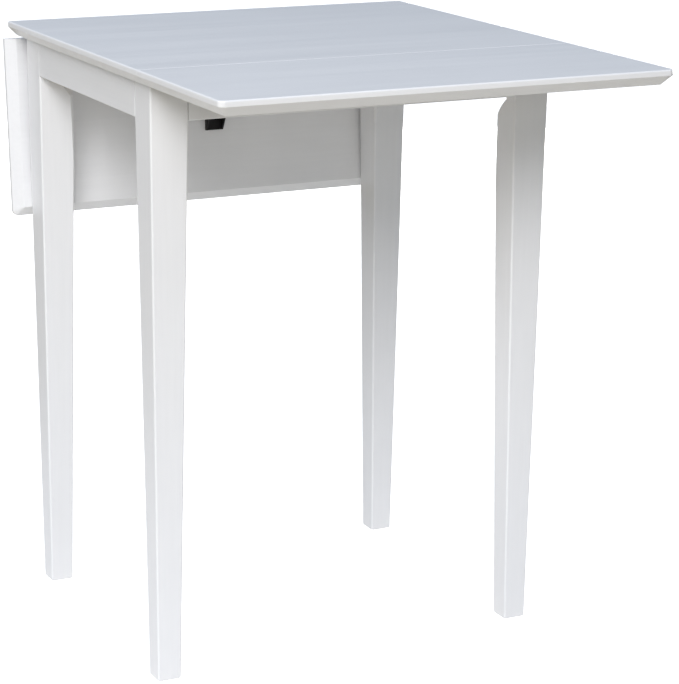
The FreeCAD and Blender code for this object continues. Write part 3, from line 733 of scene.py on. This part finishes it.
recipe = leg_tree()
for corner, quarter_turns in LEG_TURNS.items():
    node_name = "leg_" + corner
    leg = grow(recipe, "tapered_leg_" + corner,
               {**LEG_SIZES, "Turn": quarter_turns * math.pi / 2, "Corner": outer_corner(node_name, corner),
                "Material": paint_z})
    stand_for(shade_rounded(leg), node_name)
    print(leg.name, len(leg.data.polygons), "faces")

# %% [markdown]
# ## Boards of the top
# The three boards are 19 mm thick, with a 7 mm band round the edge and a 45 degree bevel below it. On the
# real table a router cuts the bevel and sandpaper softens every edge before the paint goes on. The boards
# are drawn as a stack of outlines, one for each height of the edge's section, joined like a barrel's
# hoops. Each outline is a rectangle that is set in from the outer edges, and only a leaf has round corners.

# %% Edge section
BEVEL = 12.0 * MM
TOP_ROUND = 2.2 * MM
SOFT_EDGE = 0.7 * MM
MEETING_ROUND = 0.6 * MM
CORNER_ROUND = 8.0 * MM
MITRE_SOFTNESS = 0.8 * MM
CRISP_CORNER = 0.02 * MM
ROUND_STEPS = 6


def rounded_turn(before, turn, after, radius):
    """Points of an arc that rounds the corner of a line at turn."""
    arrive = (turn - before).normalized()
    leave = (after - turn).normalized()
    half_angle = arrive.angle(leave) / 2
    start = turn - arrive * radius * math.tan(half_angle)
    normal = Vector((-arrive.y, arrive.x))
    if normal.dot(leave) < 0:
        normal = -normal
    centre = start + normal * radius
    spoke = start - centre
    sign = 1 if arrive.cross(leave) > 0 else -1
    turns = [sign * 2 * half_angle * step / ROUND_STEPS for step in range(ROUND_STEPS + 1)]
    return [centre + Matrix.Rotation(angle, 2) @ spoke for angle in turns]


def edge_section(underside, top):
    """The edge as (inset, height) points, from the underside round to the top face."""
    corners = [Vector((BEVEL * 2, underside)), Vector((BEVEL, underside)), Vector((0, underside + BEVEL)),
               Vector((0, top)), Vector((BEVEL * 2, top))]
    section = []
    for index, radius in ((1, SOFT_EDGE), (2, SOFT_EDGE), (3, TOP_ROUND)):
        section += rounded_turn(corners[index - 1], corners[index], corners[index + 1], radius)
    return section


def corner_radius(inset):
    """How round a leaf's corner is where its edge is set in: full on the band, tighter down the bevel."""
    return max(CORNER_ROUND - inset, MITRE_SOFTNESS)


def outline(low, high, radii):
    """A rectangle between two (x, y) corners, each corner rounded by its own radius, anticlockwise."""
    middles = [(high.x, high.y), (low.x, high.y), (low.x, low.y), (high.x, low.y)]
    points = []
    for quarter, ((x, y), radius) in enumerate(zip(middles, radii)):
        centre = Vector((x - math.copysign(radius, x - (low.x + high.x) / 2),
                         y - math.copysign(radius, y - (low.y + high.y) / 2)))
        for step in range(ROUND_STEPS + 1):
            angle = math.pi / 2 * (quarter + step / ROUND_STEPS)
            points.append(centre + radius * Vector((math.cos(angle), math.sin(angle))))
    return points


def stacked(name, rings):
    """A closed solid through a stack of outlines, each a list of points in space."""
    mesh = bmesh.new()
    rows = [[mesh.verts.new(point) for point in ring] for ring in rings]
    count = len(rows[0])
    for lower, upper in zip(rows, rows[1:]):
        for index in range(count):
            following = (index + 1) % count
            mesh.faces.new((lower[index], lower[following], upper[following], upper[index]))
    mesh.faces.new(rows[0][::-1])
    mesh.faces.new(rows[-1])
    bmesh.ops.remove_doubles(mesh, verts=mesh.verts, dist=WELD)
    bmesh.ops.recalc_face_normals(mesh, faces=mesh.faces)
    data = bpy.data.meshes.new(name)
    mesh.to_mesh(data)
    mesh.free()
    piece = bpy.data.objects.new(name, data)
    scene.collection.objects.link(piece)
    return piece


# %% Boards
def board_rings(low, high, outer_sides):
    """Outlines of a board between two corners; outer_sides says if its front and rear edges are bevelled."""
    rings = []
    for inset, height in edge_section(low.z, high.z):
        rise = max(0.0, height - (high.z - MEETING_ROUND))
        meeting = MEETING_ROUND - math.sqrt(max(0.0, MEETING_ROUND ** 2 - rise ** 2))
        front, rear = [inset if outer else meeting for outer in outer_sides]
        flat_low = Vector((low.x + inset, low.y + front))
        flat_high = Vector((high.x - inset, high.y - rear))
        front_radius, rear_radius = [corner_radius(inset) if outer else CRISP_CORNER for outer in outer_sides]
        radii = (rear_radius, rear_radius, front_radius, front_radius)
        rings.append([Vector((*point, height)) for point in outline(flat_low, flat_high, radii)])
    return rings


def block(name, low, high):
    """A plain block, used only to cut with."""
    corners = ((low.x, low.y), (high.x, low.y), (high.x, high.y), (low.x, high.y))
    return stacked(name, [[Vector((x, y, z)) for x, y in corners] for z in (low.z, high.z)])


def hollowed(piece, cutters):
    """Takes the cutters out of a piece and removes them."""
    for cutter in cutters:
        cut = piece.modifiers.new("cut", "BOOLEAN")
        cut.solver = "EXACT"
        cut.object = cutter
        made_plain(piece)
        bpy.data.objects.remove(cutter)
    return piece


PIVOT_Z = JOINTS["front_leaf_hinge"]["pos_m"][2]
EAR_CLEARANCE = 0.6 * MM
EAR_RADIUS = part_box("front_support_fixed_arm")[1].z - PIVOT_Z
POCKET_HALF = 21.0 * MM


def ear_pocket(pin_y, underside):
    """A block for the relief over a support's pivot, on both sides of the hinge line."""
    reach = EAR_RADIUS + EAR_CLEARANCE
    return block("pocket", Vector((-POCKET_HALF, pin_y - reach, underside - MM)),
                 Vector((POCKET_HALF, pin_y + reach, PIVOT_Z + reach)))


FRONT_PIN = JOINTS["front_leaf_hinge"]["pos_m"][1]
REAR_PIN = JOINTS["rear_leaf_hinge"]["pos_m"][1]


def make_centre_top():
    """The fixed board, with a pocket at each hinge line."""
    low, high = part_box("centre_top")
    board = stacked("centre_board", board_rings(low, high, (False, False)))
    return hollowed(board, [ear_pocket(pin, low.z) for pin in (FRONT_PIN, REAR_PIN)])


def make_leaf(name):
    """A leaf as it lies level in front, with its pocket."""
    low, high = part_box("front_leaf")
    board = stacked(name, board_rings(low, high, (True, False)))
    return hollowed(board, [ear_pocket(FRONT_PIN, low.z)])


def hang_at_rear(piece):
    """Takes a level front piece round to the rear and lets it hang from the rear hinge line."""
    round_table = Matrix.Translation((0, FRONT_PIN + REAR_PIN, 0)) @ Matrix.Rotation(math.pi, 4, "Z")
    pin = Vector(JOINTS["rear_leaf_hinge"]["pos_m"])
    drop = -math.radians(JOINTS["rear_leaf_hinge"]["range_deg"][1])
    swing = Matrix.Translation(pin) @ Matrix.Rotation(drop, 4, "X") @ Matrix.Translation(-pin)
    piece.data.transform(swing @ round_table)
    return piece


for node_name, board in (("centre_top", make_centre_top()), ("front_leaf", make_leaf("front_leaf_board")),
                         ("rear_leaf", hang_at_rear(make_leaf("rear_leaf_board")))):
    board.data.materials.clear()
    board.data.materials.append(paint_hanging if node_name == "rear_leaf" else paint_top)
    stand_for(shade_rounded(board), node_name)
    print(board.name, len(board.data.polygons), "faces")

# %% [markdown]
# ## Screws and threaded bolts
# Sixty-four screws and four hanger bolts hold the table together. Each is turned from wire: a head with a
# crossed recess, a thread rolled along the shank and a point. A tree draws one screw from its sizes, as a
# round bar whose radius follows a rule: along the length for the head and the point, and round a helix for
# the thread. It then stands a copy at every place that the frame gives, all in one mesh for each group.

# %% Where the screws are
def solids_of(name):
    """The separate solids of a node, each as an array of points."""
    mesh = bmesh.new()
    mesh.from_mesh(NODES[name].data)
    bmesh.ops.remove_doubles(mesh, verts=mesh.verts, dist=WELD)
    waiting = set(mesh.verts)
    solids = []
    while waiting:
        found = [waiting.pop()]
        for vertex in found:
            near = {edge.other_vert(vertex) for edge in vertex.link_edges} & waiting
            waiting -= near
            found += near
        solids.append(np.array([vertex.co[:] for vertex in found]))
    mesh.free()
    return solids


HANG_ANGLE = math.radians(JOINTS["rear_leaf_hinge"]["range_deg"][1])
SLANT = math.sqrt(0.5)
DIRECTIONS = [np.array(way) for way in (
    (1, 0, 0), (0, 1, 0), (0, 0, 1), (SLANT, SLANT, 0), (SLANT, -SLANT, 0),
    (0, math.sin(HANG_ANGLE), math.cos(HANG_ANGLE)))]


END_SHARE = 0.2


def driven_line(points):
    """Head centre, driving direction, length and head radius of a screw, from its points."""
    main_axis = np.linalg.svd(points - points.mean(axis=0), full_matrices=False)[2][0]
    axis = max(DIRECTIONS, key=lambda way: abs(way @ main_axis))
    along = points @ axis
    square = points - np.outer(along, axis)
    centre = (square.min(axis=0) + square.max(axis=0)) / 2
    radius = np.linalg.norm(square - centre, axis=1)
    length = along.max() - along.min()
    low_end = radius[along < along.min() + length * END_SHARE].max()
    high_end = radius[along > along.max() - length * END_SHARE].max()
    if high_end > low_end + TOUCHING:
        return centre + axis * along.max(), -axis, length, high_end
    return centre + axis * along.min(), axis, length, low_end


def places_mesh(name, lines):
    """A mesh with a point at every screw's head, which carries the way that the screw is driven."""
    mesh = bpy.data.meshes.new(name)
    mesh.from_pydata([tuple(head) for head, _, _, _ in lines], [], [])
    ways = mesh.attributes.new("driven", "FLOAT_VECTOR", "POINT")
    ways.data.foreach_set("vector", np.array([way for _, way, _, _ in lines], np.float32).ravel())
    return mesh


print("screw lines ready for", len(solids_of("brace_screws")), "brace screws")

# %% Screw tree
SCREW_SIZES = {
    "Length": 0.02, "Shank Radius": 0.002, "Head Radius": 0.004, "Head Height": 0.002, "Head Roundness": 0.0,
    "Pitch": 0.0014, "Thread Depth": 0.0004, "Thread Start": 0.003, "Point Length": 0.004,
    "Rings": 60, "Sides": 14, "Recess": True,
}
CROWN_DROP = 0.35
POINT_BLUNTNESS = 0.06
RECESS_SPAN = 1.15
RECESS_WING = 0.24
RECESS_DEPTH = 1.1
RECESS_NARROWING = -0.55


def screw_radius(tree, sizes, place):
    """The rule for a screw's radius at one point of its surface."""
    height = place.outputs["Z"]
    down = math_node(tree, "DIVIDE", height, sizes["Head Height"])
    flare = minus(tree, sizes["Head Radius"], sizes["Shank Radius"])
    cone = minus(tree, sizes["Head Radius"], times(tree, down, flare))
    up = minus(tree, 1.0, math_node(tree, "MINIMUM", down, 1.0))
    crown = times(tree, math_node(tree, "POWER", up, 3.0), CROWN_DROP)
    pan = times(tree, sizes["Head Radius"], minus(tree, 1.0, crown))
    head = plus(tree, times(tree, pan, sizes["Head Roundness"]),
                times(tree, cone, minus(tree, 1.0, sizes["Head Roundness"])))
    angle = math_node(tree, "ARCTAN2", place.outputs["Y"], place.outputs["X"])
    around = math_node(tree, "DIVIDE", angle, 2 * math.pi)
    turns = minus(tree, math_node(tree, "DIVIDE", height, sizes["Pitch"]), around)
    ridge = times(tree, math_node(tree, "PINGPONG", turns, 0.5), 2.0)
    threaded = math_node(tree, "GREATER_THAN", height, sizes["Thread Start"])
    groove = times(tree, times(tree, minus(tree, 1.0, ridge), sizes["Thread Depth"]), threaded)
    left = math_node(tree, "DIVIDE", minus(tree, sizes["Length"], height), sizes["Point Length"])
    point = math_node(tree, "MAXIMUM", math_node(tree, "MINIMUM", left, 1.0), POINT_BLUNTNESS)
    shank = times(tree, minus(tree, sizes["Shank Radius"], groove), point)
    in_head = math_node(tree, "LESS_THAN", height, sizes["Head Height"])
    return plus(tree, times(tree, head, in_head), times(tree, shank, minus(tree, 1.0, in_head)))


def crossed_recess(tree, sizes):
    """The crossed recess that a driver fits, as a cutter: two crossed wings that narrow with depth."""
    wide = times(tree, sizes["Head Radius"], RECESS_SPAN)
    thin = times(tree, sizes["Head Radius"], RECESS_WING)
    deep = times(tree, sizes["Head Height"], RECESS_DEPTH)
    wings = add(tree, "GeometryNodeJoinGeometry")
    for size in (vector(tree, wide, thin, deep), vector(tree, thin, wide, deep)):
        wing = add(tree, "GeometryNodeMeshCube", {"Size": size})
        tree.links.new(wing.outputs[0], wings.inputs[0])
    place = add(tree, "ShaderNodeSeparateXYZ", {0: add(tree, "GeometryNodeInputPosition").outputs[0]})
    narrow = times(tree, math_node(tree, "GREATER_THAN", place.outputs["Z"], 0.0), RECESS_NARROWING)
    shift = vector(tree, times(tree, place.outputs["X"], narrow), times(tree, place.outputs["Y"], narrow))
    return add(tree, "GeometryNodeSetPosition", {"Geometry": wings.outputs[0], "Offset": shift}).outputs[0]


def screw_tree():
    """One screw from its sizes, then a copy at every point, turned the way that it is driven."""
    tree, sizes = new_tree("turned_screw", SCREW_SIZES)
    line = add(tree, "GeometryNodeCurvePrimitiveLine", {"End": vector(tree, z=sizes["Length"])})
    path = add(tree, "GeometryNodeResampleCurve", {"Curve": line.outputs[0], "Count": sizes["Rings"]})
    circle = add(tree, "GeometryNodeCurvePrimitiveCircle", {"Resolution": sizes["Sides"], "Radius": 1.0})
    bar = add(tree, "GeometryNodeCurveToMesh",
              {"Curve": path.outputs[0], "Profile Curve": circle.outputs[0], "Fill Caps": True})
    place = add(tree, "ShaderNodeSeparateXYZ", {0: add(tree, "GeometryNodeInputPosition").outputs[0]})
    radius = screw_radius(tree, sizes, place)
    turned = add(tree, "GeometryNodeSetPosition",
                 {"Geometry": bar.outputs[0],
                  "Position": vector(tree, times(tree, place.outputs["X"], radius),
                                     times(tree, place.outputs["Y"], radius), place.outputs["Z"])})
    cut = add(tree, "GeometryNodeMeshBoolean",
              {"Mesh 1": turned.outputs[0], "Mesh 2": crossed_recess(tree, sizes), "Self Intersection": True},
              solver="EXACT")
    chosen = add(tree, "GeometryNodeSwitch",
                 {"Switch": sizes["Recess"], "False": turned.outputs[0], "True": cut.outputs[0]})
    way = add(tree, "GeometryNodeInputNamedAttribute", {"Name": "driven"}, data_type="FLOAT_VECTOR")
    facing = add(tree, "FunctionNodeAlignRotationToVector", {"Vector": way.outputs[0]}, axis="Z")
    copies = add(tree, "GeometryNodeInstanceOnPoints",
                 {"Points": sizes["Geometry"], "Instance": chosen.outputs[0], "Rotation": facing.outputs[0]})
    end_tree(tree, copies.outputs[0], sizes["Material"])
    return tree


recipe = screw_tree()
print("screw tree:", len(recipe.nodes), "nodes")

# %% Screws
SCREW_GROUPS = {
    "base_hinge_screws": ("countersunk", 1.5), "front_leaf_hinge_screws": ("countersunk", 1.5),
    "rear_leaf_hinge_screws": ("countersunk", 1.5), "brace_screws": ("pan", 2.0), "top_screws": ("pan", 2.0),
    "clip_screws": ("pan", 1.7), "fixed_arm_screws": ("pan", 2.0), "front_leaf_arm_screws": ("pan", 2.0),
    "rear_leaf_arm_screws": ("pan", 2.0),
}
PAN_HEIGHT = 2.2 * MM
SCREW_PITCH = 1.3 * MM
THREAD_SHARE = 0.22
RINGS_PER_PITCH = 4


def screw_sizes(kind, shank, head, length):
    """The tree's inputs for one kind of screw."""
    flat = kind == "countersunk"
    height = head - shank if flat else PAN_HEIGHT
    rings = int(length / SCREW_PITCH * RINGS_PER_PITCH) + 2
    return {"Length": length, "Shank Radius": shank, "Head Radius": head, "Head Height": height,
            "Head Roundness": 0.0 if flat else 1.0, "Pitch": SCREW_PITCH,
            "Thread Depth": shank * THREAD_SHARE, "Thread Start": height + MM, "Point Length": shank * 2,
            "Rings": rings, "Sides": 12, "Recess": True}


for node_name, (kind, shank_radius) in SCREW_GROUPS.items():
    lines = [driven_line(points) for points in solids_of(node_name)]
    head_radius = max(radius for _, _, _, radius in lines)
    values = screw_sizes(kind, shank_radius * MM, head_radius, lines[0][2])
    values["Material"] = black if SLOTS[node_name] == "black_steel" else zinc
    screws = grow(recipe, "driven_" + node_name, values, places_mesh(node_name + "_places", lines))
    stand_for(shade_rounded(screws), node_name)
    print(screws.name, len(lines), "screws,", len(screws.data.polygons), "faces")

# %% Hanger bolts
HANGER_PITCH = 1.25 * MM
HANGER_CHAMFER = 0.3 * MM
HANGER_THREAD = 0.65 * MM
HANGER_POINT = 0.9 * MM


def one_way(line):
    """A bolt's line, turned where need be so that it runs towards the middle of the table."""
    head, way, length, radius = line
    if head[:2] @ way[:2] < 0:
        return line
    return head + way * length, -way, length, radius


inward = [one_way(driven_line(points)) for points in solids_of("hanger_bolts")]
_, _, bolt_length, bolt_radius = inward[0]
values = {"Length": bolt_length, "Shank Radius": bolt_radius, "Head Radius": bolt_radius,
          "Head Height": HANGER_CHAMFER, "Head Roundness": 1.0, "Pitch": HANGER_PITCH,
          "Thread Depth": HANGER_THREAD, "Thread Start": 0.0, "Point Length": HANGER_POINT,
          "Rings": int(bolt_length / HANGER_PITCH * RINGS_PER_PITCH), "Sides": 16, "Recess": False,
          "Material": zinc}
bolts = grow(recipe, "threaded_hanger_bolts", values, places_mesh("hanger_places", inward))
stand_for(shade_rounded(bolts), "hanger_bolts")
print(bolts.name, len(inward), "bolts,", len(bolts.data.polygons), "faces")
